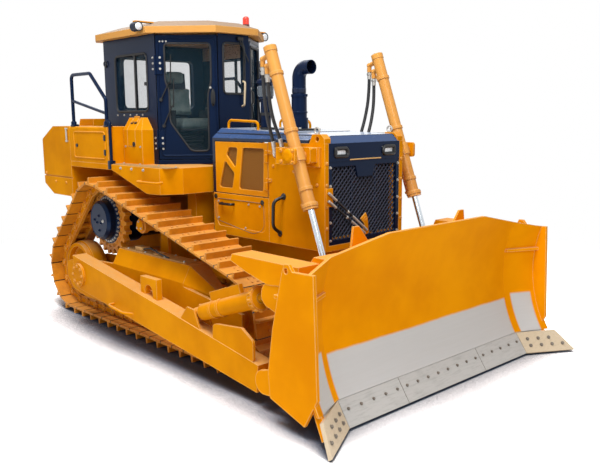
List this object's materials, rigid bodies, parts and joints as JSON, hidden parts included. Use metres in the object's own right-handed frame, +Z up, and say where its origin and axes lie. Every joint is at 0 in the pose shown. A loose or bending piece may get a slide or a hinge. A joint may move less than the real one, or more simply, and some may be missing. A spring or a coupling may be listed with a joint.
{
  "type": "crawler bulldozer with raised-sprocket tracks and a semi-U blade",
  "caption": "Crawler bulldozer: raised-sprocket track loops, glazed cab with angled doors, hood with side doors, and a curved blade on push arms that lifts and tilts by cylinders.",
  "frame": {"origin": "middle of the overall box in X and Y, on the ground", "axes": "+X forward, +Y to the machine's left, +Z up"},
  "size_m": [6.101, 3.5878, 3.615],
  "materials": {
    "yellow_paint": "satin",
    "dark_paint": "gloss",
    "cast_iron": "matte",
    "radiator_core": "matte",
    "lamp_glass": "gloss",
    "window_glass": "gloss",
    "seat_cover": "matte",
    "dark_plastic": "matte",
    "red_lens": "gloss",
    "grey_steel": "satin",
    "bit_steel": "matte",
    "chrome": "polished",
    "hose_rubber": "matte"
  },
  "bodies": {
    "tractor": {"main_frame": "yellow_paint", "sprockets": "yellow_paint", "idlers": "yellow_paint", "rollers": "yellow_paint", "track_frames": "yellow_paint", "right_track": "yellow_paint", "left_track": "yellow_paint", "equalizer_bar": "yellow_paint", "drawbar": "yellow_paint", "radiator_guard": "yellow_paint", "lower_covers": "yellow_paint", "hood_handrails": "yellow_paint", "fuel_tank": "yellow_paint", "lockers": "yellow_paint", "fenders": "yellow_paint", "step_boxes": "yellow_paint", "cab_roof": "yellow_paint", "lift_yokes": "yellow_paint", "final_drives": "dark_paint", "grille": "dark_paint", "nose_panel": "dark_paint", "hood": "dark_paint", "exhaust_stack": "dark_paint", "air_precleaner": "dark_paint", "rear_handrails": "dark_paint", "cab_floor": "dark_paint", "cab_side_walls": "dark_paint", "cab_rear_wall": "dark_paint", "cab_front": "dark_paint", "roof_lamps": "dark_paint", "engine": "cast_iron", "radiator": "radiator_core", "head_lamps": "lamp_glass", "cab_glass": "window_glass", "seat": "seat_cover", "console": "dark_plastic", "beacon": "red_lens"},
    "trunnions": {"trunnion_caps": "yellow_paint"},
    "right_arm": {"right_push_arm": "yellow_paint"},
    "left_arm": {"left_push_arm": "yellow_paint"},
    "blade": {"blade": "yellow_paint", "cutting_edge": "grey_steel", "end_bits": "bit_steel"},
    "tilt_barrel": {"tilt_barrel": "yellow_paint"},
    "tilt_rod": {"tilt_rod": "chrome"},
    "brace": {"brace": "yellow_paint"},
    "right_lift_barrel": {"right_lift_barrel": "yellow_paint", "right_lift_hoses": "hose_rubber"},
    "left_lift_barrel": {"left_lift_barrel": "yellow_paint", "left_lift_hoses": "hose_rubber"},
    "right_lift_rod": {"right_lift_rod": "chrome"},
    "left_lift_rod": {"left_lift_rod": "chrome"},
    "right_cab_door": {"right_cab_door": "dark_paint", "right_door_glass": "window_glass"},
    "left_cab_door": {"left_cab_door": "dark_paint", "left_door_glass": "window_glass"},
    "right_engine_door": {"right_engine_door": "yellow_paint"},
    "left_engine_door": {"left_engine_door": "yellow_paint"},
    "right_box_lid": {"right_box_lid": "yellow_paint"},
    "left_box_lid": {"left_box_lid": "yellow_paint"}
  },
  "joints": [
    {"name": "blade_lift", "type": "hinge", "parent": "tractor", "child": "trunnions", "pos_m": [-1.34048, 0, 0.64], "axis": [0, -1, 0], "range_deg": [-7, 17]},
    {"name": "blade_tilt", "type": "hinge", "parent": "trunnions", "child": "blade", "pos_m": [1.99948, 0, 0.25], "axis": [0.9155, -0.3879, -0.1069], "range_deg": [-6.5, 6.5]},
    {"name": "right_arm_swing", "type": "hinge", "parent": "trunnions", "child": "right_arm", "pos_m": [-1.34048, 0, 0.64], "axis": [0, -1, 0], "range_deg": [-2.52, 2.52]},
    {"name": "left_arm_swing", "type": "hinge", "parent": "trunnions", "child": "left_arm", "pos_m": [-1.34048, 0, 0.64], "axis": [0, -1, 0], "range_deg": [-2.52, 2.52]},
    {"name": "tilt_barrel_swing", "type": "hinge", "parent": "right_arm", "child": "tilt_barrel", "pos_m": [0.89948, -1.415, 0.6], "axis": [0.3027, -0.3331, -0.893], "range_deg": [-3.85, 3.85]},
    {"name": "tilt_rod_slide", "type": "slide", "parent": "tilt_barrel", "child": "tilt_rod", "axis": [0.9471, 0, 0.321], "range_m": [-0.0612, 0.0612]},
    {"name": "brace_swing", "type": "hinge", "parent": "left_arm", "child": "brace", "pos_m": [0.89948, 1.415, 0.6], "axis": [0.321, 0, -0.9471], "range_deg": [-3.63, 3.63]},
    {"name": "right_lift_swing", "type": "hinge", "parent": "tractor", "child": "right_lift_barrel", "pos_m": [1.57648, -0.74, 2.077], "axis": [0, -1, 0], "range_deg": [-6.55, 15.91]},
    {"name": "right_lift_slide", "type": "slide", "parent": "right_lift_barrel", "child": "right_lift_rod", "axis": [0.3436, 0, -0.9391], "range_m": [-0.9572, 0.3947]},
    {"name": "left_lift_swing", "type": "hinge", "parent": "tractor", "child": "left_lift_barrel", "pos_m": [1.57648, 0.74, 2.077], "axis": [0, -1, 0], "range_deg": [-6.55, 15.91]},
    {"name": "left_lift_slide", "type": "slide", "parent": "left_lift_barrel", "child": "left_lift_rod", "axis": [0.3436, 0, -0.9391], "range_m": [-0.9572, 0.3947]},
    {"name": "right_cab_door_hinge", "type": "hinge", "parent": "tractor", "child": "right_cab_door", "pos_m": [-0.73111, -0.75978, 2.6], "axis": [0, 0, -1], "range_deg": [0, 100]},
    {"name": "right_engine_door_hinge", "type": "hinge", "parent": "tractor", "child": "right_engine_door", "pos_m": [0.93748, -0.564, 1.9], "axis": [0, 0, 1], "range_deg": [0, 95]},
    {"name": "right_box_lid_hinge", "type": "hinge", "parent": "tractor", "child": "right_box_lid", "pos_m": [-1.25548, -0.81403, 2.43853], "axis": [-1, 0, 0], "range_deg": [0, 95]},
    {"name": "left_cab_door_hinge", "type": "hinge", "parent": "tractor", "child": "left_cab_door", "pos_m": [-0.73111, 0.75978, 2.6], "axis": [0, 0, 1], "range_deg": [0, 100]},
    {"name": "left_engine_door_hinge", "type": "hinge", "parent": "tractor", "child": "left_engine_door", "pos_m": [0.93748, 0.564, 1.9], "axis": [0, 0, -1], "range_deg": [0, 95]},
    {"name": "left_box_lid_hinge", "type": "hinge", "parent": "tractor", "child": "left_box_lid", "pos_m": [-1.25548, 0.81403, 2.43853], "axis": [1, 0, 0], "range_deg": [0, 95]}
  ],
  "couplings": [
    {"joint": "right_arm_swing", "follows": "blade_tilt", "ratio": -0.38786},
    {"joint": "left_arm_swing", "follows": "blade_tilt", "ratio": 0.38786},
    {"joint": "tilt_barrel_swing", "follows": "blade_tilt", "ratio": 0.59173},
    {"joint": "tilt_rod_slide", "follows": "blade_tilt", "m_per_rad": -0.53107},
    {"joint": "brace_swing", "follows": "blade_tilt", "ratio": 0.55795},
    {"joint": "right_lift_swing", "follows": "blade_lift", "ratio": 0.935},
    {"joint": "right_lift_slide", "follows": "blade_lift", "m_per_rad": -3.2228},
    {"joint": "left_lift_swing", "follows": "blade_lift", "ratio": 0.935},
    {"joint": "left_lift_slide", "follows": "blade_lift", "m_per_rad": -3.2228}
  ]
}
